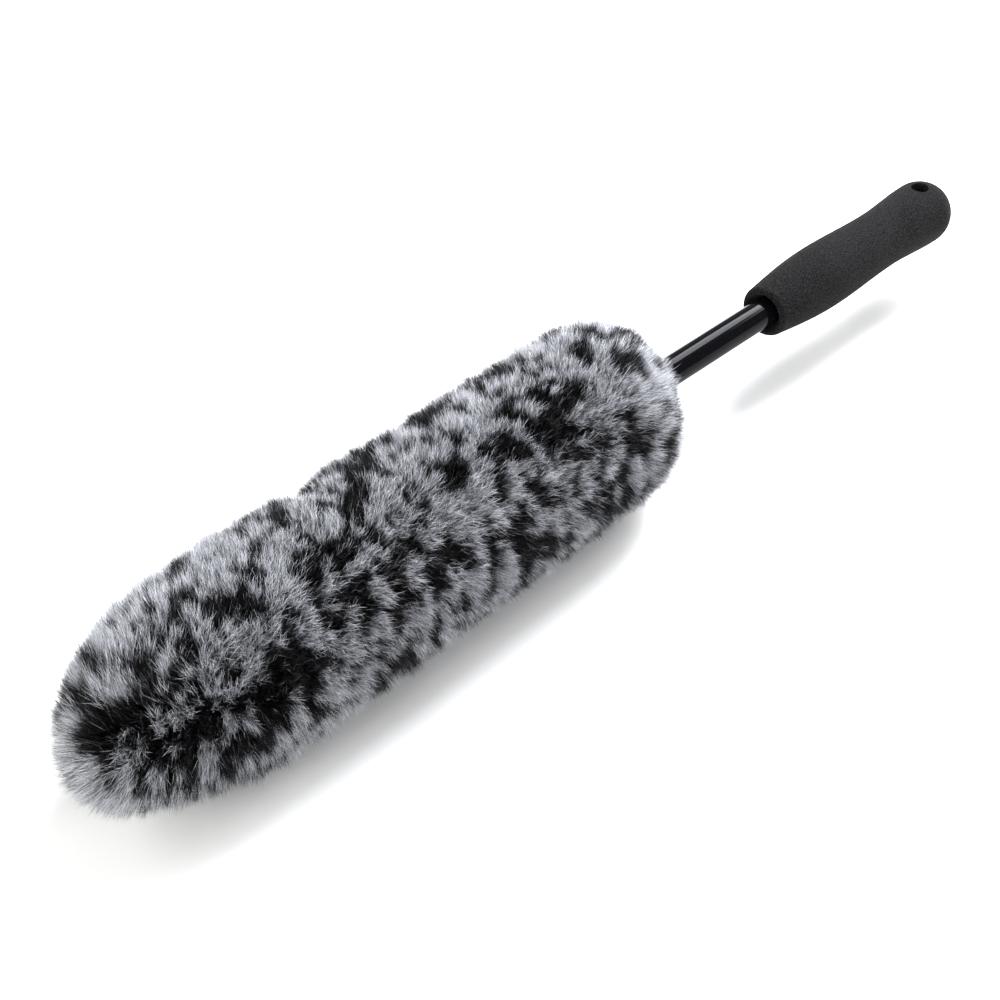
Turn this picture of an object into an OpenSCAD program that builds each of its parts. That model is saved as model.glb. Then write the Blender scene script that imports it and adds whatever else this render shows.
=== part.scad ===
// Wheel brush: a long plush head on a tubular shaft with a foam grip.
// The brush lies along X on its head, nose towards -X and grip towards +X.
// The origin is on the resting plane, under the middle of the bounding box.

/* [Lengths] */
// Plush head, from the nose to where the pile closes round the shaft
head_len = 299; // [280:1:320]
// Bare shaft between the head and the grip
bare_len = 67; // [40:1:90]
// Foam grip
grip_len = 134; // [125:1:150]

/* [Plush head] */
// Diameter over the crests of the pile
head_d = 77; // [74:1:80]
// Length of the pile fibres
pile_len = 19.8; // [18:0.1:21]
// Length over which the nose rounds off
nose_len = 77; // [70:1:85]
// Length over which the rear of the head rounds off
shoulder_len = 52; // [48:1:56]
// Ridges of pile along the straight part
ridges = 12; // [8:1:16]
// Depth of the valleys between the ridges
ridge_depth = 1.6; // [0.8:0.1:2.4]
// How far the pile is pressed flat where the head rests
rest_squash = 2.5; // [2:0.1:3.5]

/* [Core and sleeve] */
// Thickness of the knitted sleeve that carries the pile
sleeve_t = 1.5; // [1:0.1:2]
// Thickness of the discs that hold the foam core
disc_t = 3; // [2:0.5:4]
// Outer diameter of the disc hubs
hub_d = 18; // [17:0.5:20]
// Length of the disc hubs, which sit inside the ends of the foam core
hub_len = 9; // [8:0.5:12]
// Length of the cone behind the rear disc, where the sleeve gathers
cone_len = 19; // [17:1:22]
// Diameter of the pins through hub and shaft
pin_d = 2.4; // [2:0.1:3]

/* [Shaft] */
// Outer diameter of the tube
tube_d = 12.7; // [12:0.1:13]
// Wall of the tube
tube_wall = 1.2; // [0.8:0.1:1.5]

/* [Grip] */
// Diameter just behind the mouth
mouth_d = 23; // [22:0.5:24]
// Diameter at the bulge under the fingers
bulge_d = 29.2; // [28:0.1:32]
// Diameter at the waist
waist_d = 26.8; // [25:0.1:28]
// Diameter at the tail
tail_d = 30; // [28:0.5:32]
// Diameter of the hanging hole
hang_d = 8.2; // [6:0.1:9]
// Hanging hole, from the end of the grip
hang_inset = 17.5; // [15:0.5:20]

/* [Hidden] */
$fn = 96;

// Clearance between pieces that touch
gap = 0.05;
eps = 0.5;

// Stations along the shaft
total_len = head_len + bare_len + grip_len;
nose_x = -total_len / 2;
head_end_x = nose_x + head_len;
mouth_x = head_end_x + bare_len;
grip_end_x = mouth_x + grip_len;
body_x0 = nose_x + nose_len;
body_x1 = head_end_x - shoulder_len;
hang_x = grip_end_x - hang_inset;

// Radii of the head, and the height of the shaft over the resting plane
head_r = head_d / 2;
axis_z = head_r - rest_squash;
sleeve_r = head_r - pile_len;
foam_r = sleeve_r - sleeve_t - gap;
pile_r = sleeve_r + gap;

// Foam core between its two discs
core_x0 = body_x0 - 2;
core_x1 = body_x1 + 15;
hub_r = hub_d / 2;
cone_x0 = core_x1 + disc_t;
cone_x1 = cone_x0 + cone_len;
cone_r = 9.5;
pin_r = pin_d / 2;

// Shaft, from inside the nose to just short of the hanging hole
tube_r = tube_d / 2;
bore_r = tube_r - tube_wall;
fit_r = tube_r + gap;
tube_x0 = core_x0 - disc_t - 8;
plug_len = 10;
plug_flange_t = 2;
tube_x1 = hang_x - hang_d / 2 - 5 - plug_flange_t;

// Nose cover, one pile length inside the tip
cover_x1 = core_x0 - disc_t;
cover_len = cover_x1 - nose_x - pile_len;
seam_r = 0.8;
seam_room = 1.4;

// Gathered neck of the sleeve, and the tie round it
neck_r = fit_r + sleeve_t;
neck_x1 = cone_x1 + 9;
tie_w = 4.6;
tie_t = 1.3;
tie_x = cone_x1 + 2;
tie_head = [5, 6, 4];
tie_room_r = neck_r + tie_t + tie_head[2] + 1.2;

// Outline of the grip
bulge_x = mouth_x + 42;
waist_x = mouth_x + 85;
tail_x = grip_end_x - 15;
lip_len = 3;
lip_r = 9.4;
dish_depth = 4.5;

// Half a cosine wave from a to b
function ease(a, b, t) = a + (b - a) * (1 - cos(180 * t)) / 2;

// Points of a quarter ellipse [radius, x], from the pole at x0 to the equator len further on
function dome(x0, len, r, n = 18) =
    [for (i = [0:n]) [r * sin(90 * i / n), x0 + len * (1 - cos(90 * i / n))]];

// Places a shape that was built along Z on the shaft axis, starting at x
module along_x(x = 0) {
    translate([x, 0, axis_z])
        rotate([0, 90, 0])
            children();
}

// Solid of revolution about the shaft axis from points [radius, x]
module turned(points) {
    along_x()
        rotate_extrude()
            polygon(points);
}

module sleeve_ring(x, len, r_in, r_out) {
    along_x(x)
        difference() {
            cylinder(r = r_out, h = len);
            translate([0, 0, -eps])
                cylinder(r = r_in, h = len + 2 * eps);
        }
}

// Cross holes for the two retaining pins
pin_stations = [core_x0 + hub_len / 2, core_x1 - hub_len / 2];

module pin_at(x, r, half_len) {
    translate([x, 0, axis_z - half_len])
        cylinder(r = r, h = 2 * half_len, $fn = 32);
}

// Keeps what is above the resting plane
module on_the_floor() {
    difference() {
        children();
        translate([nose_x - 10, -head_d, -head_d])
            cube([total_len + 20, 2 * head_d, head_d]);
    }
}

module shaft_tube() {
    color("#141416")
        difference() {
            sleeve_ring(tube_x0, tube_x1 - tube_x0, bore_r, tube_r);
            for (x = pin_stations)
                pin_at(x, pin_r + gap, tube_r + eps);
        }
}

// Rounded plastic plug that blunts the front end of the shaft
module front_plug() {
    head_r2 = tube_r + 2;
    head_t = 7;
    color("#2a2a2c")
        union() {
            turned([[0, tube_x0 - head_t / 2], [head_r2, tube_x0 - head_t / 2],
                    [head_r2, tube_x0], [bore_r - gap, tube_x0],
                    [bore_r - gap, tube_x0 + plug_len], [0, tube_x0 + plug_len]]);
            turned(concat(dome(tube_x0 - head_t, head_t / 2, head_r2, 8), [[0, tube_x0 - head_t / 2]]));
        }
}

// Plug that closes the shaft inside the grip
module rear_plug() {
    color("#2a2a2c")
        turned([[0, tube_x1 - plug_len], [bore_r - gap - 0.6, tube_x1 - plug_len],
                [bore_r - gap, tube_x1 - plug_len + 2], [bore_r - gap, tube_x1],
                [tube_r, tube_x1], [tube_r, tube_x1 + plug_flange_t], [0, tube_x1 + plug_flange_t]]);
}

function lip_points(n = 6) =
    [for (i = [0:n]) [lip_r + (mouth_d / 2 - lip_r) * sin(90 * i / n),
                      mouth_x + lip_len * (1 - cos(90 * i / n))]];

function bulge_points(n = 10) =
    [for (i = [1:n]) [mouth_d / 2 + (bulge_d - mouth_d) / 2 * sin(90 * i / n),
                      mouth_x + lip_len + (bulge_x - mouth_x - lip_len) * i / n]];

function wave_points(x0, x1, r0, r1, n = 8) =
    [for (i = [1:n]) [ease(r0, r1, i / n), x0 + (x1 - x0) * i / n]];

function end_points(n = 12) =
    [for (i = [1:n]) [tail_d / 2 * cos(90 * i / n),
                      tail_x + (grip_end_x - tail_x) * sin(90 * i / n)]];

module grip() {
    pocket_x = tube_x1 + plug_flange_t + gap;
    outline = concat(
        [[0, pocket_x], [fit_r, pocket_x], [fit_r, mouth_x + dish_depth], [lip_r - 0.8, mouth_x + 0.6]],
        lip_points(),
        bulge_points(),
        wave_points(bulge_x, waist_x, bulge_d / 2, waist_d / 2),
        wave_points(waist_x, tail_x, waist_d / 2, tail_d / 2),
        end_points());
    color("#2b2b2d")
        difference() {
            turned(outline);
            translate([hang_x, 0, axis_z - tail_d])
                cylinder(d = hang_d, h = 2 * tail_d, $fn = 48);
        }
}

module core_foam() {
    color("#3a3d42")
        difference() {
            sleeve_ring(core_x0 + gap, core_x1 - core_x0 - 2 * gap, fit_r, foam_r);
            for (x = [core_x0 - eps, core_x1 - hub_len - gap])
                along_x(x)
                    cylinder(r = hub_r + gap, h = hub_len + gap + eps);
        }
}

// Soft foam in front of the shaft, hollow where the front plug sits
module nose_pad() {
    pad_r = sleeve_r - sleeve_t - gap;
    pad_x0 = cover_x1 - cover_len + sleeve_t + gap;
    room_r = tube_r + 3;
    color("#3a3d42")
        difference() {
            turned(concat(dome(pad_x0, cover_x1 - gap - pad_x0, pad_r), [[0, cover_x1 - gap]]));
            along_x(tube_x0 - 8)
                cylinder(r = room_r, h = 8 + cover_x1 - tube_x0 + eps);
        }
}

module front_disc() {
    color("#17181a")
        difference() {
            union() {
                sleeve_ring(core_x0 - disc_t, disc_t, fit_r, foam_r);
                sleeve_ring(core_x0 - eps, hub_len + eps, fit_r, hub_r);
            }
            pin_at(pin_stations[0], pin_r + gap, hub_r + eps);
        }
}

// Rear disc with a cone behind it, over which the sleeve gathers down to the shaft
module rear_collar() {
    color("#17181a")
        difference() {
            turned([[fit_r, core_x1 - hub_len], [hub_r, core_x1 - hub_len], [hub_r, core_x1],
                    [foam_r, core_x1], [foam_r, cone_x0],
                    [cone_r - sleeve_t, cone_x1 - gap], [fit_r, cone_x1 - gap]]);
            pin_at(pin_stations[1], pin_r + gap, hub_r + eps);
        }
}

module retaining_pins() {
    color("silver")
        for (x = pin_stations)
            pin_at(x, pin_r, hub_r - 0.1);
}

// Knitted tube round the core, gathered down to the shaft at its neck
module sleeve() {
    inner_r = sleeve_r - sleeve_t;
    color("#26272a")
        turned([[inner_r, cover_x1 + gap], [sleeve_r, cover_x1 + gap],
                [sleeve_r, cone_x0 + gap], [cone_r + gap, cone_x1], [neck_r, cone_x1 + 1.5],
                [neck_r, neck_x1], [fit_r, neck_x1], [fit_r, cone_x1],
                [cone_r - sleeve_t + gap, cone_x1], [inner_r, cone_x0 + gap]]);
}

// Domed panel that closes the front of the sleeve
module nose_cover() {
    inner_x = cover_x1 - cover_len + sleeve_t;
    outer = dome(cover_x1 - cover_len, cover_len - gap, sleeve_r);
    inner = dome(inner_x, cover_x1 - gap - inner_x, sleeve_r - sleeve_t);
    color("#26272a")
        turned(concat(outer, [for (i = [len(inner) - 1:-1:0]) inner[i]]));
}

// Overlocked seam between the sleeve and the nose cover
module nose_seam() {
    color("#0e0e10")
        along_x(cover_x1)
            rotate_extrude()
                translate([sleeve_r + seam_r + gap, 0])
                    circle(r = seam_r, $fn = 24);
}

// Seam along the sleeve, on the far side of the head
side_seam_len = cone_x0 - cover_x1 - 8;

module side_seam() {
    color("#0e0e10")
        translate([cover_x1 + 5, sleeve_r + seam_r + gap, axis_z])
            rotate([0, 90, 0])
                cylinder(r = seam_r, h = side_seam_len, $fn = 24);
}

// Nylon tie round the gathered neck, with its locking head
module neck_tie() {
    color("#1b1b1d")
        union() {
            sleeve_ring(tie_x, tie_w, neck_r + gap, neck_r + tie_t);
            translate([tie_x + (tie_w - tie_head[0]) / 2, -tie_head[1] / 2, axis_z + neck_r + tie_t - 0.6])
                cube(tie_head);
        }
}

// Radius of the ridged pile at a share t of the way along the body
function ridged_r(t) = head_r - ridge_depth * (1 + cos(360 * ridges * t)) / 2;

module pile_body() {
    steps = 6 * ridges;
    x0 = cover_x1 + seam_room;
    crest = [for (i = [0:steps]) [ridged_r(i / steps), body_x0 + (body_x1 - body_x0) * i / steps]];
    color("#8d9096")
        on_the_floor()
            difference() {
                turned(concat([[pile_r, x0], [pile_r + 2 * seam_r + 0.4, x0], [head_r - ridge_depth, cover_x1 + gap]],
                              crest, [[pile_r, body_x1]]));
                translate([x0 - eps, pile_r - 0.4, axis_z - seam_room])
                    cube([body_x1 - x0 + 2 * eps, 2 * seam_r + 0.8, 2 * seam_room]);
            }
}

module pile_nose() {
    outer = [for (p = dome(nose_x, nose_len, head_r - ridge_depth, 24)) if (p[1] < cover_x1 - gap) p];
    inner = dome(cover_x1 - cover_len - gap, cover_len - seam_room, pile_r);
    rim = [[head_r - ridge_depth - 0.4, cover_x1 - gap],
           [pile_r + 2 * seam_r + 0.4, cover_x1 - seam_room - gap]];
    color("#8d9096")
        on_the_floor()
            turned(concat(outer, rim, [for (i = [len(inner) - 1:-1:0]) inner[i]]));
}

module pile_neck() {
    n = 22;
    tail = [for (i = [0:n]) [(head_r - ridge_depth) * cos(90 * i / n),
                             body_x1 + gap + (head_end_x - body_x1 - gap) * sin(90 * i / n)]];
    outer = [for (p = tail) if (p[0] > fit_r + 1) p];
    color("#8d9096")
        on_the_floor()
            difference() {
                turned(concat([[pile_r, body_x1 + gap]], outer,
                              [[fit_r, head_end_x], [fit_r, neck_x1 + gap], [tie_room_r, neck_x1 + gap],
                               [tie_room_r, cone_x0 + 9], [pile_r, cone_x0]]));
                translate([body_x1 - eps, pile_r - 0.4, axis_z - seam_room])
                    cube([cone_x0 - body_x1 + 2, 2 * seam_r + 0.8, 2 * seam_room]);
            }
}

shaft_tube();
front_plug();
rear_plug();
grip();
core_foam();
nose_pad();
front_disc();
rear_collar();
retaining_pins();
sleeve();
nose_cover();
nose_seam();
side_seam();
neck_tie();
pile_body();
pile_nose();
pile_neck();
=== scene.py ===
import math

import bmesh
import bpy
import numpy as np
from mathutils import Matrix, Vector


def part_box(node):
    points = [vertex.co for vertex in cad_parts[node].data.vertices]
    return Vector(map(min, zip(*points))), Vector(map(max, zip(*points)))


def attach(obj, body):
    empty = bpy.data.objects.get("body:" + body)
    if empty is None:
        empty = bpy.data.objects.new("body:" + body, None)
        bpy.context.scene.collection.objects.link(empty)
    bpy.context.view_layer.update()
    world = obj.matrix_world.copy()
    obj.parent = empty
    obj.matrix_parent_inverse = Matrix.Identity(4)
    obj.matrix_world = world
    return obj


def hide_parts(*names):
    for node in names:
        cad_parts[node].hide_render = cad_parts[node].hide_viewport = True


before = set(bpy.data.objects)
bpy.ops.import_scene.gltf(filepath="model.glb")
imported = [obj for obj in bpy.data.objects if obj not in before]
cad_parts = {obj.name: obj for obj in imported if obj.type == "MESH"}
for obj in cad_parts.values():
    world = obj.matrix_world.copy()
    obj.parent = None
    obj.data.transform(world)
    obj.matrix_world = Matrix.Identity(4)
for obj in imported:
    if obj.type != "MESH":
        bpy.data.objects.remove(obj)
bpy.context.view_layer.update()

MM = 0.001
TAU = 2 * math.pi

# ------------------------------------------------------------------ places from the frame

NOSE_LO, NOSE_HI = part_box("pile_nose")
BODY_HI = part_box("pile_body")[1]
NECK_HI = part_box("pile_neck")[1]
TUBE_LO, TUBE_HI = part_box("shaft_tube")

AXIS_Z = (TUBE_LO.z + TUBE_HI.z) / 2
TUBE_R = (TUBE_HI.z - TUBE_LO.z) / 2
HEAD_R = BODY_HI.z - AXIS_Z
HEAD_X0 = NOSE_LO.x
HEAD_X1 = NECK_HI.x
SHOULDER_X = BODY_HI.x
NOSE_LEN = 77 * MM
SHOULDER_LEN = HEAD_X1 - SHOULDER_X
BODY_X0 = HEAD_X0 + NOSE_LEN
BODY_LEN = SHOULDER_X - BODY_X0
RIDGES = 12


# ------------------------------------------------------------------ seeded noise

LATTICE_SIZE, LATTICE_COUNT = 32, 12
NOISE_ORIGIN = 17.3
SHIFT_WAY = np.array([1.37, 2.11, 0.73])
OCTAVE_SCALE, OCTAVE_WEIGHT = 2.03, 0.5


def lattice(seed):
    """A cube of random values that repeats in all three directions."""
    return np.random.default_rng(seed).random((LATTICE_SIZE, LATTICE_SIZE, LATTICE_SIZE))


LATTICES = [lattice(seed) for seed in range(LATTICE_COUNT)]


def noise(points, seed, octaves=1, shift=0.0):
    """Smooth value noise from -1 to 1 at points of shape (n, 3), one cell per unit."""
    points = points + shift * SHIFT_WAY
    total = np.zeros(len(points))
    scale, weight, weights = 1.0, 1.0, 0.0
    cube = LATTICES[seed]
    for _ in range(octaves):
        p = points * scale + NOISE_ORIGIN * scale
        base = np.floor(p).astype(int)
        f = p - base
        f = f * f * (3 - 2 * f)
        value = np.zeros(len(points))
        for corner in range(8):
            step = np.array([corner & 1, corner >> 1 & 1, corner >> 2 & 1])
            i, j, k = ((base + step) % LATTICE_SIZE).T
            w = np.prod(np.where(step, f, 1 - f), axis=1)
            value += w * cube[i, j, k]
        total += weight * (2 * value - 1)
        weights += weight
        scale, weight = scale * OCTAVE_SCALE, weight * OCTAVE_WEIGHT
    return total / weights


def smooth(edge0, edge1, x):
    """A soft step from 0 at edge0 to 1 at edge1."""
    t = np.clip((x - edge0) / (edge1 - edge0), 0, 1)
    return t * t * (3 - 2 * t)


# ------------------------------------------------------------------ materials

def material(name):
    """An empty node material with its Principled shader."""
    m = bpy.data.materials.new(name)
    m.use_nodes = True
    return m, m.node_tree, m.node_tree.nodes["Principled BSDF"]


def add(tree, kind, inputs=None, **settings):
    node = tree.nodes.new(kind)
    for key, value in settings.items():
        setattr(node, key, value)
    for key, value in (inputs or {}).items():
        node.inputs[key].default_value = value
    return node


def ramp(tree, source, stops):
    node = tree.nodes.new("ShaderNodeValToRGB")
    elements = node.color_ramp.elements
    while len(elements) < len(stops):
        elements.new(0.5)
    for element, (position, colour) in zip(elements, stops):
        element.position = position
        element.color = (*colour, 1)
    tree.links.new(source, node.inputs["Fac"])
    return node


def grain(tree, scale, detail=2.0, roughness=0.5, stretch=None):
    """A noise texture in the object's own space, with scale cells to the metre.
    stretch scales the space first."""
    where = add(tree, "ShaderNodeTexCoord").outputs["Object"]
    if stretch:
        mapping = add(tree, "ShaderNodeMapping", {"Scale": stretch})
        tree.links.new(where, mapping.inputs["Vector"])
        where = mapping.outputs["Vector"]
    node = add(tree, "ShaderNodeTexNoise", {"Scale": scale, "Detail": detail, "Roughness": roughness})
    tree.links.new(where, node.inputs["Vector"])
    return node.outputs["Fac"]


def surface_from(tree, shader, source, stops, rough, bump, depth):
    """Colour, roughness and bump of a shader, all from one texture value."""
    tree.links.new(ramp(tree, source, stops).outputs["Color"], shader.inputs["Base Color"])
    level = add(tree, "ShaderNodeMapRange", {"To Min": rough[0], "To Max": rough[1]})
    tree.links.new(source, level.inputs["Value"])
    tree.links.new(level.outputs["Result"], shader.inputs["Roughness"])
    relief = add(tree, "ShaderNodeBump", {"Strength": bump, "Distance": depth})
    tree.links.new(source, relief.inputs["Height"])
    tree.links.new(relief.outputs["Normal"], shader.inputs["Normal"])


FIBRE_TONES = 15
FIBRE_TINT = Vector((0.940, 0.965, 1.085))
DARKEST, BRIGHTEST = 0.0024, 0.85
TONE_DECADES, TONE_CURVE = 2.50, 0.85
NEUTRAL_FROM, NEUTRAL_SHARE = 9, 0.45       # the tint fades by this share over the tones above this one


def fibre_tone(i):
    """Colour of the fibres of one step, from black to silver white."""
    last = FIBRE_TONES - 1
    level = DARKEST * 10 ** (TONE_DECADES * (i / last) ** TONE_CURVE)
    fade = max(0, (i - NEUTRAL_FROM) / (last - NEUTRAL_FROM)) * NEUTRAL_SHARE
    tint = FIBRE_TINT.lerp(Vector((1, 1, 1)), fade)
    return [min(level * t, BRIGHTEST) for t in tint]


def fibre_materials():
    """One material for each tone, from black to silver."""
    made = []
    for i in range(FIBRE_TONES):
        light = i / (FIBRE_TONES - 1)
        m, _, shader = material(f"fibre_{i:02d}")
        shader.inputs["Base Color"].default_value = (*fibre_tone(i), 1)
        shader.inputs["Roughness"].default_value = 0.40 + 0.10 * light
        shader.inputs["Specular IOR Level"].default_value = 0.08 + 0.42 * light
        shader.inputs["Sheen Weight"].default_value = 0.16 * light
        shader.inputs["Sheen Roughness"].default_value = 0.5
        made.append(m)
    return made


def foam_material(name, dark, light, cell):
    """Closed-cell foam: a fine speckle of cells, cell metres across, over a faint mottling."""
    m, tree, shader = material(name)
    fine = grain(tree, 1 / cell, 4.0, 0.7)
    broad = grain(tree, 70.0, 3.0)
    both = add(tree, "ShaderNodeMix", {"Factor": 0.07}, data_type="FLOAT")
    tree.links.new(fine, both.inputs["A"])
    tree.links.new(broad, both.inputs["B"])
    surface_from(tree, shader, both.outputs["Result"], [(0.42, dark), (0.60, light)],
                 rough=(0.80, 0.95), bump=0.8, depth=0.3 * MM)
    shader.inputs["Specular IOR Level"].default_value = 0.06
    shader.inputs["Sheen Weight"].default_value = 0.02
    return m


def plastic_material(name, dark, light):
    """Moulded plastic with a fine spark-eroded grain."""
    m, tree, shader = material(name)
    surface_from(tree, shader, grain(tree, 2600.0, 3.0), [(0.3, dark), (0.7, light)],
                 rough=(0.38, 0.55), bump=0.2, depth=0.03 * MM)
    return m


def steel_material():
    """Drawn steel pin, brushed along its length."""
    m, tree, shader = material("pin_steel")
    lines = grain(tree, 900.0, 4.0, 0.6, (6.0, 6.0, 0.25))
    surface_from(tree, shader, lines, [(0.3, (0.42, 0.42, 0.43)), (0.7, (0.60, 0.60, 0.61))],
                 rough=(0.22, 0.36), bump=0.1, depth=0.01 * MM)
    shader.inputs["Metallic"].default_value = 1.0
    return m


WAVE_PERIOD = 0.32               # metres between the bands of a wave texture at scale 1


def knit_material(name, dark, light, loop):
    """Knitted backing: loops in rows round the head, loop metres apart."""
    m, tree, shader = material(name)
    where = add(tree, "ShaderNodeTexCoord").outputs["Object"]
    scale = WAVE_PERIOD / loop
    row_look = {"Scale": scale, "Distortion": 2.0, "Detail": 2.0, "Detail Scale": 3.0}
    rib_look = {"Scale": scale, "Distortion": 1.5, "Detail": 1.0}
    rows = add(tree, "ShaderNodeTexWave", row_look, bands_direction="X")
    ribs = add(tree, "ShaderNodeTexWave", rib_look, bands_direction="DIAGONAL")
    for node in (rows, ribs):
        tree.links.new(where, node.inputs["Vector"])
    height = add(tree, "ShaderNodeMath", operation="MULTIPLY")
    tree.links.new(rows.outputs["Fac"], height.inputs[0])
    tree.links.new(ribs.outputs["Fac"], height.inputs[1])
    surface_from(tree, shader, height.outputs["Value"], [(0.05, dark), (0.7, light)],
                 rough=(0.75, 0.95), bump=0.7, depth=0.3 * MM)
    shader.inputs["Sheen Weight"].default_value = 0.1
    return m


def paint_material():
    """Gloss black paint with a faint orange peel and a little dust."""
    m, tree, shader = material("gloss_black_paint")
    peel = grain(tree, 420.0)
    specks = grain(tree, 2600.0, 1.0)
    colour = ramp(tree, specks, [(0.64, (0.0022, 0.0022, 0.0032)), (0.78, (0.014, 0.014, 0.017))])
    tree.links.new(colour.outputs["Color"], shader.inputs["Base Color"])
    rough = add(tree, "ShaderNodeMapRange", {"To Min": 0.05, "To Max": 0.10})
    tree.links.new(peel, rough.inputs["Value"])
    tree.links.new(rough.outputs["Result"], shader.inputs["Roughness"])
    bump = add(tree, "ShaderNodeBump", {"Strength": 0.03, "Distance": 0.05 * MM})
    tree.links.new(peel, bump.inputs["Height"])
    tree.links.new(bump.outputs["Normal"], shader.inputs["Normal"])
    shader.inputs["Specular IOR Level"].default_value = 0.055
    return m


def paint_nodes():
    """A material for every CAD node that stays as it is."""
    plastic = plastic_material("plastic_black", (0.022, 0.022, 0.023), (0.034, 0.034, 0.036))
    knit = knit_material("backing_knit", (0.008, 0.008, 0.010), (0.035, 0.035, 0.040), 0.9 * MM)
    thread = knit_material("thread", (0.004, 0.004, 0.005), (0.016, 0.016, 0.018), 0.4 * MM)
    core = foam_material("core_foam", (0.05, 0.053, 0.06), (0.09, 0.095, 0.105), 1.1 * MM)
    grip = foam_material("grip_foam", (0.0010, 0.0010, 0.0011), (0.0190, 0.0187, 0.0198), 0.62 * MM)
    looks = {
        "shaft_tube": paint_material(), "retaining_pins": steel_material(),
        "grip": grip, "core_foam": core, "nose_pad": core, "sleeve": knit, "nose_cover": knit,
        "nose_seam": thread, "side_seam": thread, "neck_tie": plastic, "front_disc": plastic,
        "rear_collar": plastic, "front_plug": plastic, "rear_plug": plastic,
    }
    for node, look in looks.items():
        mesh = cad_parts[node].data
        mesh.materials.clear()
        mesh.materials.append(look)


# ------------------------------------------------------------------ shape of the pile

# Outline. The tips stand REACH over the CAD outline, and fibres can be told apart down to the bed.
REACH = 1.0 * MM
NOSE_BED, BODY_BED = 11 * MM, 8.5 * MM
ROUND_STEPS, BODY_STEPS = 120, 200
SHOULDER_POWER = 3.0
SHOULDER_ROOM = 11.0 * MM        # the fibres themselves fill the last of the shoulder
NECK_GAP, BED_GAP = 1.2 * MM, 0.3 * MM      # from the tube to the end of the pile and of its bed
TAIL_R0, TAIL_R1 = TUBE_R + 1 * MM, 0.38 * HEAD_R       # between these radii the pile runs over the tie
LEAST_R, LEAST_PARTING_R = 4 * MM, 6 * MM   # smallest radii for turning lengths into angles and back

# The soft head has crept off the shaft's line, its tip droops, and its shoulder leans back on one side
SIDE_UP = 0.86                   # angle round the head, from +Z towards +Y, of the side that leans out
CREEP_FRONT, CREEP_CHANGE = -3.9, 6.2       # millimetres sideways at the tip, and from there to the neck
CREEP_END = SHOULDER_X + 0.4 * SHOULDER_LEN
DROOP_SHARE, DROOP_SIDE, DROOP_DOWN = 0.11, 2.6 * MM, 2.2 * MM
SHOULDER_SHEAR = 4.5 * MM
SHEAR_ANGLE = 1.35               # angle round the head of the side that reaches farthest back
SHEAR_R = 0.5 * HEAD_R
FLOOR_GAP, FLOOR_SPREAD = 0.4 * MM, 0.6     # fibres lie on the floor, and give way to the side

# Fibres and the tufts they stand in
FIBRE_DENSITY = 4.3 / (MM * MM)
FIBRE_SEED = 42
FIBRES_PER_PIECE = 19500
CROSS_SIDES = 3
OBLIQUE = np.array([0.31, 0.52, 0.79])      # a direction that no fibre follows
PLASTIC_RATIO = 1.324717957244746           # its powers scatter points evenly
TUFT = 3.9 * MM
TUFT_COLUMNS = round(TAU * HEAD_R / TUFT)
TUFT_SCATTER = 0.8
TUFT_LAYER = 5                   # layers of the lattice to skip when its rows run out

# The parting on the nose: stations along the head and the angle round it there
PARTING_X = np.array([-243, -211, -183, -164]) * MM
PARTING_ANGLE = np.radians([-30, -61, -82, -92])
PARTING_WIDTH = 5 * MM
PARTING_LEAN_WIDTH, PARTING_LEAN_CORE = 8 * MM, 2 * MM

# Creases that cut into the pile: station, angle round the head, depth
CREASES = ((-125 * MM, SIDE_UP, 8.0 * MM), (-75 * MM, SIDE_UP, 7.2 * MM))
CREASE_WIDTH, CREASE_SPREAD = 4.2 * MM, 0.7

# Ridges round the body, weaker over the shoulder
RIDGE_FADE, RIDGE_LOSS = 0.3 * NOSE_LEN, 0.5
RIDGE_QUARTER = 0.25 * BODY_LEN / RIDGES


def arc_table():
    """Stations along the head: arc length, outer x and radius, bed x and radius."""
    a = np.radians(np.linspace(0, 90, ROUND_STEPS))
    bed_r = HEAD_R - NOSE_BED + (NOSE_BED - BODY_BED) * smooth(0.5, 1, a / a[-1])
    nose = (HEAD_X0 + NOSE_LEN * (1 - np.cos(a)), HEAD_R * np.sin(a),
            HEAD_X0 + NOSE_BED + (NOSE_LEN - NOSE_BED) * (1 - np.cos(a)), bed_r * np.sin(a))
    x = np.linspace(BODY_X0, SHOULDER_X, BODY_STEPS)[1:-1]
    body = (x, np.full_like(x, HEAD_R), x, np.full_like(x, HEAD_R - BODY_BED))
    power = SHOULDER_POWER
    last = math.acos(((TUBE_R + NECK_GAP) / HEAD_R) ** (power / 2))
    b = np.linspace(0, last, ROUND_STEPS)
    out, drop = np.sin(b) ** (2 / power), np.cos(b) ** (2 / power)
    length = SHOULDER_LEN - SHOULDER_ROOM
    neck = (SHOULDER_X + length * out, HEAD_R * drop, SHOULDER_X + (length - BODY_BED) * out,
            np.maximum((HEAD_R - BODY_BED) * drop, TUBE_R + BED_GAP))
    tail = [SHOULDER_ROOM * (1 - smooth(TAIL_R0, TAIL_R1, r)) for r in (neck[1], neck[3])]
    neck = (neck[0] + tail[0], neck[1], neck[2] + tail[1], neck[3])
    xo, ro, xb, rb = (np.concatenate(parts) for parts in zip(nose, body, neck))
    arc = np.concatenate([[0], np.cumsum(np.hypot(np.diff(xo), np.diff(ro)))])
    return arc, xo, ro, xb, rb


ARC, OUT_X, OUT_R, BED_X, BED_R = arc_table()


def sag(x):
    """How far the soft head has crept off the shaft's line, as y and z, at stations x."""
    length = HEAD_X1 - HEAD_X0
    along = (x - HEAD_X0) / length
    tip = 1 - smooth(0, DROOP_SHARE, along)
    y = (CREEP_FRONT + CREEP_CHANGE * np.clip(along, 0, 1)) * MM - DROOP_SIDE * tip
    return y, -DROOP_DOWN * tip


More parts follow.
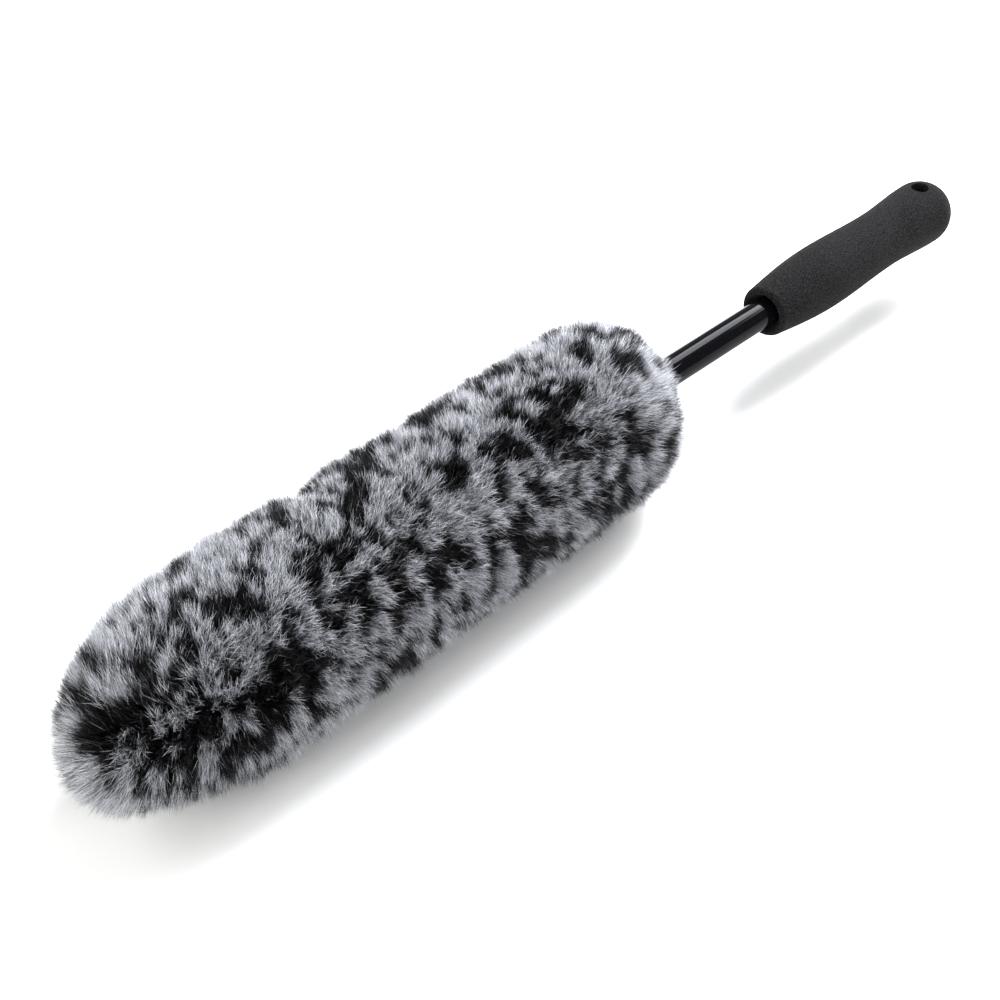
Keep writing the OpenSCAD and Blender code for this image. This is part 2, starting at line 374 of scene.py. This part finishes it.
def surface(arc, angle, height, reach):
    """Points of the pile: height 0 is the bed and 1 the tips. reach adds to the tip radius."""
    arc = np.clip(arc, 0, ARC[-1])
    xo, ro, xb, rb = (np.interp(arc, ARC, column) for column in (OUT_X, OUT_R, BED_X, BED_R))
    dx, dr = xo - xb, ro - rb
    grow = height * (1 + reach / np.hypot(dx, dr))
    x = xb + dx * grow
    r = np.maximum(rb + dr * grow, 0)
    back = smooth(SHOULDER_X, HEAD_X1, x) * smooth(TUBE_R, SHEAR_R, r)
    x = x + SHOULDER_SHEAR * back * np.cos(angle - SHEAR_ANGLE)
    shift_y, shift_z = sag(x)
    fade = smooth(HEAD_X1, CREEP_END, x)
    y = r * np.sin(angle) + shift_y * fade
    z = AXIS_Z + r * np.cos(angle) + shift_z
    under = np.maximum(FLOOR_GAP - z, 0)
    return np.stack([x, y + FLOOR_SPREAD * under * np.sign(y), z + under], axis=1)


def around(arc, angle):
    """Where on the pile's own outer surface, in millimetres, for noise."""
    x, r = np.interp(arc, ARC, OUT_X), np.interp(arc, ARC, OUT_R)
    return np.stack([x, r * np.sin(angle), r * np.cos(angle)], axis=1) / MM


def turn(angle):
    """The same angle between -pi and pi."""
    return (angle + math.pi) % TAU - math.pi


def parting(arc, angle):
    """Distance from the parting round the head, and how strong the parting is there."""
    x, r = np.interp(arc, ARC, OUT_X), np.interp(arc, ARC, OUT_R)
    away = turn(angle - np.interp(x, PARTING_X, PARTING_ANGLE)) * np.maximum(r, LEAST_PARTING_R)
    return away, 1 - smooth(PARTING_X[-2], PARTING_X[-1], x)


def crease_depth(arc, angle):
    """How far the creases cut in there."""
    x = np.interp(arc, ARC, OUT_X)
    depth = np.zeros(len(arc))
    for station, middle, full in CREASES:
        across = np.exp(-((x - station) / CREASE_WIDTH) ** 2)
        depth += full * across * np.exp(-(turn(angle - middle) / CREASE_SPREAD) ** 2)
    return depth


def tufts(arc, angle):
    """The tuft each fibre belongs to: steps to its middle along the head and round it, distance
    in tufts, and three random numbers of the tuft."""
    cell = np.stack([arc / TUFT, (angle % TAU) / TAU * TUFT_COLUMNS], axis=1)
    base = np.floor(cell).astype(int)
    best = np.full(len(arc), np.inf)
    step = np.zeros((len(arc), 2))
    lot = np.zeros((len(arc), 3))
    table = np.stack([LATTICES[k] for k in range(5)], axis=-1)
    for di in (-1, 0, 1):
        for dj in (-1, 0, 1):
            home = base + (di, dj)
            column = home[:, 1] % TUFT_COLUMNS
            layer = column // LATTICE_SIZE + home[:, 0] // LATTICE_SIZE * TUFT_LAYER
            random = table[home[:, 0] % LATTICE_SIZE, column % LATTICE_SIZE, layer % LATTICE_SIZE]
            delta = home + 0.5 + TUFT_SCATTER * (random[:, :2] - 0.5) - cell
            distance = np.hypot(*delta.T)
            nearer = distance < best
            best[nearer], step[nearer], lot[nearer] = distance[nearer], delta[nearer], random[nearer, 2:]
    radius = np.interp(arc, ARC, OUT_R)
    return step[:, 0] * TUFT, step[:, 1] * TAU / TUFT_COLUMNS * radius, best, lot


def ridge(arc):
    """-1 in the valleys between the ridges, 1 on their crests, and 0 off the straight body."""
    x = np.interp(arc, ARC, OUT_X)
    wave = -np.cos(TAU * (x - BODY_X0) / BODY_LEN * RIDGES)
    wave = wave * smooth(BODY_X0 - RIDGE_FADE, BODY_X0, x)
    return wave * (1 - RIDGE_LOSS * smooth(SHOULDER_X, HEAD_X1, x))


# Layers of the mottling, coarse to fine: cell in millimetres along and round the head, seed, shift, weight
MOTTLING = ((28.0, 30.0, 5, 354.7, 0.42), (15.0, 17.0, 4, 45.4, 0.52), (8.5, 11.0, 1, 321.3, 0.62),
            (5.0, 6.8, 9, 207.9, 1.05), (3.8, 5.6, 10, 0.0, 1.35), (2.2, 3.2, 2, 0.0, 1.00))

# Patches of one colour: distance from the tip over the surface, degrees round, radius, lightness
PATCHES = ((21, -29, 8, -1.3), (80, -75, 9, -1.4), (45, -14, 5, -1.0), (82, -16, 7, -1.0), (48, 9, 8, 0.5),
           (73, -41, 9, 0.8), (48, -56, 9, 1.3), (13, -78, 9, 0.6), (31, -12, 7, 0.9), (63, -94, 7, 1.2),
           (284, -20, 6, -1.1), (240, -23, 9, -1.2), (262, -16, 7, 0.9), (262, -58, 7, -1.1),
           (298, -30, 7, -0.5), (286, 4, 6, -1.1), (264, 1, 6, -0.9), (283, -45, 8, 0.7))

# What else makes the mottling lighter or darker. The ridge tone is painted shade in the valleys and
# painted light on the crests; the parting and crease tones are painted shade. BORDER is half the band
# between black and silver.
RIDGE_SHADE_AND_LIGHT, BASE_TONE, NOSE_TONE, REAR_TONE = 0.12, -0.03, -0.10, 0.08
TUFT_TONE, NOSE_TUFT_TONE = 0.60, 0.60
PARTING_PAINTED_SHADE, CREASE_PAINTED_SHADE = -0.30, -60      # the second per metre of the crease's depth
BORDER = 0.18
REAR_FADE = 20 * MM
WARP_CELL, WARP_SHARE, WARP_MOST, PATCH_WARP = 7, 0.2, 1.2, 2


def light_share(arc, angle, lot):
    """Light share of the mottled pattern, 0 for black and 1 for silver, with painted shade in the ridge
    valleys, the parting and the creases and painted light on the ridge crests.
    """
    p = around(arc, angle)
    warp = np.stack([noise(p / WARP_CELL, k) for k in (1, 2, 3)], axis=1)
    nose = 1 - smooth(0.6 * NOSE_LEN, 1.4 * NOSE_LEN, arc)
    tuft_tone = (TUFT_TONE + NOSE_TUFT_TONE * nose) * (lot - 0.5)
    # the ridge term is painted shade in the valleys and painted light on the crests
    level = RIDGE_SHADE_AND_LIGHT * ridge(arc) + BASE_TONE + tuft_tone + NOSE_TONE * nose
    for cell, girth, seed, shift, weight in MOTTLING:
        bend = warp * min(WARP_MOST, WARP_SHARE * cell)
        level = level + weight * noise((p + bend) / np.array([cell, girth, girth]), seed, 1, shift)
    for station, degrees, radius, tone in PATCHES:
        middle = around(np.array([station * MM]), np.array([math.radians(degrees)]))
        level = level + tone * np.exp(-((p + PATCH_WARP * warp - middle) ** 2).sum(axis=1) / radius ** 2)
    level = level + REAR_TONE * smooth(SHOULDER_X - REAR_FADE, SHOULDER_X + REAR_FADE, p[:, 0] * MM)
    away, strength = parting(arc, angle)
    # painted shade along the parting, where the pile opens
    level = level + PARTING_PAINTED_SHADE * strength * np.exp(-(away / PARTING_WIDTH) ** 2)
    # painted shade in the creases, darker where they cut deeper
    level = level + CREASE_PAINTED_SHADE * crease_depth(arc, angle)
    return smooth(-BORDER, BORDER, level)


# How the fibres lean and how far they reach, in millimetres
WAVE_CELL, WAVE_LEAN, NOSE_WAVE = 16, 1.1, 1.5
TUFT_LEAN, RIDGE_LEAN, PARTING_LEAN = 1.8, 0.8, 3.0
NOSE_UP, NOSE_BACK, NOSE_BACK_FROM = 3.4, 3.0, 20 * MM
GATHER, NOSE_GATHER = 0.45, 0.55
SWELL_CELL, SWELL = 12, 1.1
TUFT_SWELL, TUFT_DOME, NOSE_DOME, DOME_EDGE = 1.8, 2.6, 2.4, 0.42
PARTING_DIP = 1.6


def lay_of(arc, angle, step_along, step_across, distance, lot):
    """How the fibres lean, in metres along the head and round it, and how far their tips reach."""
    p = around(arc, angle)
    away, strength = parting(arc, angle)
    side = np.clip(away / PARTING_LEAN_CORE, -1, 1)
    parted = strength * np.exp(-np.abs(away) / PARTING_LEAN_WIDTH) * side
    nose = 1 - smooth(0.5 * NOSE_LEN, 1.5 * NOSE_LEN, arc)
    up = angle - SIDE_UP
    wave = 1 + NOSE_WAVE * nose
    along = WAVE_LEAN * noise(p / WAVE_CELL, 6) * wave + TUFT_LEAN * (lot[:, 0] - 0.5)
    along = along + RIDGE_LEAN * ridge(arc + RIDGE_QUARTER)
    along = along + nose * (NOSE_BACK * smooth(0, NOSE_BACK_FROM, arc) + NOSE_UP * np.cos(up))
    across = WAVE_LEAN * noise(p / WAVE_CELL, 7) * wave + TUFT_LEAN * (lot[:, 1] - 0.5)
    across = across + PARTING_LEAN * parted - nose * NOSE_UP * np.sin(up)
    reach = ridge(arc) + SWELL * noise(p / SWELL_CELL, 8, 2) + (TUFT_SWELL + nose) * (lot[:, 2] - 0.5)
    reach = reach + (TUFT_DOME + NOSE_DOME * nose) * (DOME_EDGE - distance)
    reach = reach - PARTING_DIP * strength * np.exp(-(away / PARTING_WIDTH) ** 2) + nose
    gather = GATHER + NOSE_GATHER * nose
    along = along * MM + gather * step_along
    across = across * MM + gather * step_across
    return along, across, REACH + reach * MM - crease_depth(arc, angle)


def spread_roots(count):
    """Evenly scattered roots over the head, as arc length and angle."""
    area = np.concatenate([[0], np.cumsum((OUT_R[1:] + OUT_R[:-1]) / 2 * np.diff(ARC))])
    i = np.arange(1, count + 1)
    share = (i * (1 / PLASTIC_RATIO)) % 1.0
    angle = TAU * ((i * (1 / PLASTIC_RATIO ** 2)) % 1.0)
    return np.interp(share * area[-1], area, ARC), angle


def head_area():
    """Area of the pile's outer surface."""
    return TAU * np.sum((OUT_R[1:] + OUT_R[:-1]) / 2 * np.diff(ARC))


# How single fibres differ from their tuft
TUFT_SHADE = 0.6                 # how far a fibre takes the colour of the middle of its tuft
LOOSE_LEAN, LOOSE_CURL, LOOSE_REACH = 1.5 * MM, 0.45 * MM, 0.55 * MM
SHORTEST = 3                     # millimetres by which the shortest fall short of the rest
FLY_SHARE, FLY_REACH, FLY_THIN = 0.05, 2.2, 0.7         # the few thin ones that stand out, in millimetres
SPLAY_LENGTH = 14 * MM           # the last of the pile, which splays round the tube
SPLAY_REACH, SPLAY_SPREAD, SPLAY_TURN = -0.6 * MM, 2.0 * MM, 1.6 * MM
BEND_HEIGHT, BEND_LEAN, BEND_THICKNESS = 0.55, 0.35, 0.92
THINNEST, THICKEST = 0.075, 0.130           # radius at the root, in millimetres

# Tones of the light and dark fibres, and the few strays of another tone; the light strays among the dark
# fibres are partly stray grey fibres and partly painted glints
LIGHT_TONE, LIGHT_SPREAD = 12.3, 2.0
DARK_TONE, DARK_SPREAD = 0.6, 1.2
DARK_STRAYS_AND_GLINTS, DARK_STRAY_AND_GLINT_TONES = 0.08, (5, 13)
LIGHT_STRAYS, LIGHT_STRAY_TONES = 0.05, (4, 8)
# painted shade: how many tones darker the part of each fibre below the bend is drawn
ROOT_PAINTED_SHADE = 3


def strands(arc, angle, seed):
    """The fibres: root, bend and tip, thickness, and how light each is."""
    rng = np.random.default_rng(seed)
    n = len(arc)
    step_along, step_across, distance, lot = tufts(arc, angle)
    radius = np.maximum(np.interp(arc, ARC, OUT_R), LEAST_R)
    shade_arc, shade_angle = arc + TUFT_SHADE * step_along, angle + TUFT_SHADE * step_across / radius
    share = light_share(shade_arc, shade_angle, lot[:, 2])
    along, across, reach = lay_of(arc, angle, step_along, step_across, distance, lot)
    along = along + rng.normal(0, LOOSE_LEAN, n)
    across = across + rng.normal(0, LOOSE_LEAN, n)
    reach = reach + rng.normal(0, LOOSE_REACH, n) - rng.random(n) ** 3 * SHORTEST * MM
    fly = rng.random(n) < FLY_SHARE
    splay = smooth(ARC[-1] - SPLAY_LENGTH, ARC[-1], arc)
    reach = reach + fly * rng.random(n) * FLY_REACH * MM + splay * rng.normal(SPLAY_REACH, SPLAY_SPREAD, n)
    across = across + splay * rng.normal(0, SPLAY_TURN, n)
    root = surface(arc, angle, np.zeros(n), reach)
    curl = rng.normal(0, LOOSE_CURL, (2, n))
    bend_arc = arc + BEND_LEAN * along + curl[0]
    bend_angle = angle + (BEND_LEAN * across + curl[1]) / radius
    bend = surface(bend_arc, bend_angle, np.full(n, BEND_HEIGHT), reach)
    tip = surface(arc + along, angle + across / radius, np.ones(n), reach)
    thick = rng.uniform(THINNEST, THICKEST, n) * MM * np.where(fly, FLY_THIN, 1)
    return root, bend, tip, thick, share, rng


def fibre_slots(share, rng):
    """Fibre tone for each fibre: mostly black or silver, with some spread and a few strays; the light
    strays among the black are partly painted glints.
    """
    n = len(share)
    light = rng.normal(LIGHT_TONE, LIGHT_SPREAD, n)
    dark = rng.normal(DARK_TONE, DARK_SPREAD, n)
    stray = rng.random(n)
    # light strays among the dark fibres: partly stray grey fibres, partly painted glints
    dark = np.where(stray < DARK_STRAYS_AND_GLINTS, rng.uniform(*DARK_STRAY_AND_GLINT_TONES, n), dark)
    light = np.where(stray > 1 - LIGHT_STRAYS, rng.uniform(*LIGHT_STRAY_TONES, n), light)
    slot = np.where(rng.random(n) < share, light, dark)
    return np.clip(np.round(slot), 0, FIBRE_TONES - 1).astype(int)


def strand_mesh(name, root, bend, tip, thick, tip_slot, shaded_root_slot, materials):
    """Three-sided tapered fibres, closed at the root and pointed at the tip."""
    n = len(root)
    way = tip - root
    way /= np.linalg.norm(way, axis=1, keepdims=True)
    side = np.cross(way, OBLIQUE)
    side /= np.linalg.norm(side, axis=1, keepdims=True)
    other = np.cross(way, side)
    rings = []
    for centre, size in ((root, 1.0), (bend, BEND_THICKNESS)):
        for k in range(CROSS_SIDES):
            angle = TAU * k / CROSS_SIDES
            outward = math.cos(angle) * side + math.sin(angle) * other
            rings.append(centre + outward * (size * thick)[:, None])
    verts = np.stack([*rings, tip], axis=1).reshape(-1, 3)
    point = 2 * CROSS_SIDES
    sides = [(k, (k + 1) % CROSS_SIDES) for k in range(CROSS_SIDES)]
    lower = [[0, 2, 1]]
    for a, b in sides:
        lower += [[a, b, b + CROSS_SIDES], [a, b + CROSS_SIDES, a + CROSS_SIDES]]
    upper = [[a + CROSS_SIDES, b + CROSS_SIDES, point] for a, b in sides]
    start = (np.arange(n) * (point + 1))[:, None, None]
    faces = (start + np.array(lower + upper)[None]).reshape(-1, 3)
    # the faces below the bend take the darker root tone, painted shade deep in the pile
    slots = np.concatenate([np.repeat(shaded_root_slot[:, None], len(lower), axis=1),
                            np.repeat(tip_slot[:, None], len(upper), axis=1)], axis=1).reshape(-1)
    return piece_from(name, verts, faces, materials, slots)


def piece_from(name, verts, faces, materials, slots):
    """A smooth mesh object straight from arrays of vertices and faces."""
    mesh = bpy.data.meshes.new(name)
    corners = faces.shape[1]
    mesh.vertices.add(len(verts))
    mesh.vertices.foreach_set("co", verts.astype(np.float32).ravel())
    mesh.loops.add(faces.size)
    mesh.loops.foreach_set("vertex_index", faces.astype(np.int32).ravel())
    mesh.polygons.add(len(faces))
    mesh.polygons.foreach_set("loop_start", np.arange(0, faces.size, corners, dtype=np.int32))
    mesh.polygons.foreach_set("use_smooth", np.ones(len(faces), dtype=bool))
    mesh.polygons.foreach_set("material_index", slots.astype(np.int32))
    for m in materials:
        mesh.materials.append(m)
    mesh.update(calc_edges=True)
    mesh.validate()
    obj = bpy.data.objects.new(name, mesh)
    bpy.context.scene.collection.objects.link(obj)
    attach(obj, "root")
    return obj


def build_pile(materials):
    """All the fibres, as pieces that stand in for the three pile solids of the CAD."""
    count = int(head_area() * FIBRE_DENSITY)
    arc, angle = spread_roots(count)
    order = np.argsort(arc, kind="stable")
    arc, angle = arc[order], angle[order]
    root, bend, tip, thick, share, rng = strands(arc, angle, FIBRE_SEED)
    tip_slot = fibre_slots(share, rng)
    # painted shade: the root part of each fibre takes a darker tone than its tip
    shaded_root_slot = np.clip(tip_slot - ROOT_PAINTED_SHADE, 0, None)
    x = np.interp(arc, ARC, OUT_X)
    zones = [("pile_nose", x < NOSE_HI.x), ("pile_body", (x >= NOSE_HI.x) & (x < SHOULDER_X)),
             ("pile_neck", x >= SHOULDER_X)]
    for node, here in zones:
        index = np.nonzero(here)[0]
        pieces = math.ceil(len(index) / FIBRES_PER_PIECE)
        for k, part in enumerate(np.array_split(index, pieces), 1):
            obj = strand_mesh(f"{node}_fibres_{k:02d}", root[part], bend[part], tip[part], thick[part],
                              tip_slot[part], shaded_root_slot[part], materials)
            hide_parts(node)


# The bed: steps along and round, height as a share of the pile, and tones, which keep to the darkest few
# as painted shade
BED_ROWS, BED_COLUMNS, BED_START = 330, 210, 0.3 * MM
BED_LIFT, BED_ROUGHNESS, BED_CELL = 0.10, 0.10, 3.0
BED_SHADE_TONES = 3.0


def build_bed(materials):
    """The dense foot of the pile, mottled like the fibres and painted darker as the shade deep in the
    pile.
    """
    arc = np.linspace(BED_START, ARC[-1], BED_ROWS)
    angle = np.linspace(0, TAU, BED_COLUMNS, endpoint=False)
    grid_arc, grid_angle = (g.ravel() for g in np.meshgrid(arc, angle, indexing="ij"))
    lift = BED_LIFT + BED_ROUGHNESS * noise(around(grid_arc, grid_angle) / BED_CELL, 11, 2)
    verts = surface(grid_arc, grid_angle, lift, np.zeros(len(grid_arc)))
    row, column = np.meshgrid(np.arange(BED_ROWS - 1), np.arange(BED_COLUMNS), indexing="ij")
    here, beside = (row * BED_COLUMNS + c for c in (column, (column + 1) % BED_COLUMNS))
    faces = np.stack([here, beside, beside + BED_COLUMNS, here + BED_COLUMNS], axis=-1).reshape(-1, 4)
    share = light_share(grid_arc, grid_angle, 0.5).reshape(BED_ROWS, BED_COLUMNS)[:-1].ravel()
    # painted shade: the bed takes only the darkest few fibre tones
    slots = np.round(BED_SHADE_TONES * share).astype(int)
    obj = piece_from("pile_bed", verts, faces, materials, slots)
    bm = bmesh.new()
    bm.from_mesh(obj.data)
    bmesh.ops.holes_fill(bm, edges=[e for e in bm.edges if e.is_boundary], sides=0)
    bmesh.ops.recalc_face_normals(bm, faces=bm.faces)
    bm.to_mesh(obj.data)
    bm.free()
    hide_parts("pile_body")


# ------------------------------------------------------------------ camera, floor and lights

VIEW_AZIMUTH, VIEW_ELEVATION = -45.93, 38.81
VIEW_DISTANCE = 676.25 * MM
VIEW_TARGET = Vector((-54.75 * MM, -8.01 * MM, AXIS_Z - 0.26 * MM))
LENS, SENSOR = 64.8, 36
FLOOR_HALF = 12

# Soft boxes: name, azimuth, elevation, distance, size, power, colour, and the point they face
SOFT_BOXES = (
    ("overhead_box", 105, 50, 1.3, (0.7, 0.62), 30.5, (0.93, 0.95, 1.0), (0.05, 0, 0.04)),
    ("rear_box", -140, 30, 1.3, (1.1, 0.5), 7, (1.0, 1.0, 0.97), (-0.05, 0, 0.04)),
    ("side_box", 90, 32, 1.2, (0.7, 0.4), 12, (1.0, 1.0, 0.98), (0.0, 0, 0.04)),
    ("front_box", -5, 28, 1.2, (0.8, 0.5), 5.5, (1.0, 1.0, 1.0), (-0.05, 0, 0.04)),
    ("nose_box", -95, 22, 1.2, (0.7, 0.4), 8, (1.0, 1.0, 0.94), (-0.1, 0, 0.04)),
)
WORLD_COLOUR, WORLD_STRENGTH = (0.97, 0.98, 1.0, 1), 0.47


def direction(azimuth, elevation):
    """The way from the object to a camera or light. Azimuth 0 is in front, at -Y."""
    a, e = math.radians(azimuth), math.radians(elevation)
    return Vector((math.sin(a) * math.cos(e), -math.cos(a) * math.cos(e), math.sin(e)))


def build_camera():
    """A camera at the photo's viewing angle."""
    data = bpy.data.cameras.new("camera")
    data.lens = LENS
    data.sensor_width = SENSOR
    data.clip_start, data.clip_end = 0.01, 20
    camera = bpy.data.objects.new("camera", data)
    bpy.context.scene.collection.objects.link(camera)
    back = direction(VIEW_AZIMUTH, VIEW_ELEVATION)
    camera.location = VIEW_TARGET + VIEW_DISTANCE * back
    camera.rotation_mode = "QUATERNION"
    camera.rotation_quaternion = (-back).to_track_quat("-Z", "Y")
    bpy.context.scene.camera = camera


def area_light(name, azimuth, elevation, distance, size, power, colour, target):
    """A rectangular soft box that faces the target."""
    data = bpy.data.lights.new(name, "AREA")
    data.shape = "RECTANGLE"
    data.size, data.size_y = size
    data.energy = power
    data.color = colour
    lamp = bpy.data.objects.new(name, data)
    bpy.context.scene.collection.objects.link(lamp)
    back = direction(azimuth, elevation)
    lamp.location = Vector(target) + distance * back
    lamp.rotation_mode = "QUATERNION"
    lamp.rotation_quaternion = (-back).to_track_quat("-Z", "Y")


def build_stage():
    """The plain pale floor, the even studio light and the soft boxes."""
    m, tree, shader = material("floor")
    where = add(tree, "ShaderNodeTexCoord").outputs["Object"]
    tint = add(tree, "ShaderNodeTexNoise", {"Scale": 3.0, "Detail": 2.0})
    tree.links.new(where, tint.inputs["Vector"])
    colour = ramp(tree, tint.outputs["Fac"], [(0.3, (0.93, 0.93, 0.93)), (0.7, (0.95, 0.95, 0.95))])
    tree.links.new(colour.outputs["Color"], shader.inputs["Base Color"])
    shader.inputs["Roughness"].default_value = 0.9
    shader.inputs["Specular IOR Level"].default_value = 0.1
    mesh = bpy.data.meshes.new("floor")
    corners = [(x * FLOOR_HALF, y * FLOOR_HALF, 0) for x, y in ((-1, -1), (1, -1), (1, 1), (-1, 1))]
    mesh.from_pydata(corners, [], [(0, 1, 2, 3)])
    mesh.materials.append(m)
    floor = bpy.data.objects.new("floor", mesh)
    bpy.context.scene.collection.objects.link(floor)
    world = bpy.data.worlds.new("studio")
    bpy.context.scene.world = world
    world.use_nodes = True
    background = world.node_tree.nodes["Background"]
    background.inputs["Color"].default_value = WORLD_COLOUR
    background.inputs["Strength"].default_value = WORLD_STRENGTH
    for box in SOFT_BOXES:
        area_light(*box)
    view = bpy.context.scene.view_settings
    view.view_transform = "Standard"
    view.look = "None"


# ------------------------------------------------------------------ build

build_camera()
fibres = fibre_materials()
build_pile(fibres)
build_bed(fibres)
paint_nodes()
build_stage()
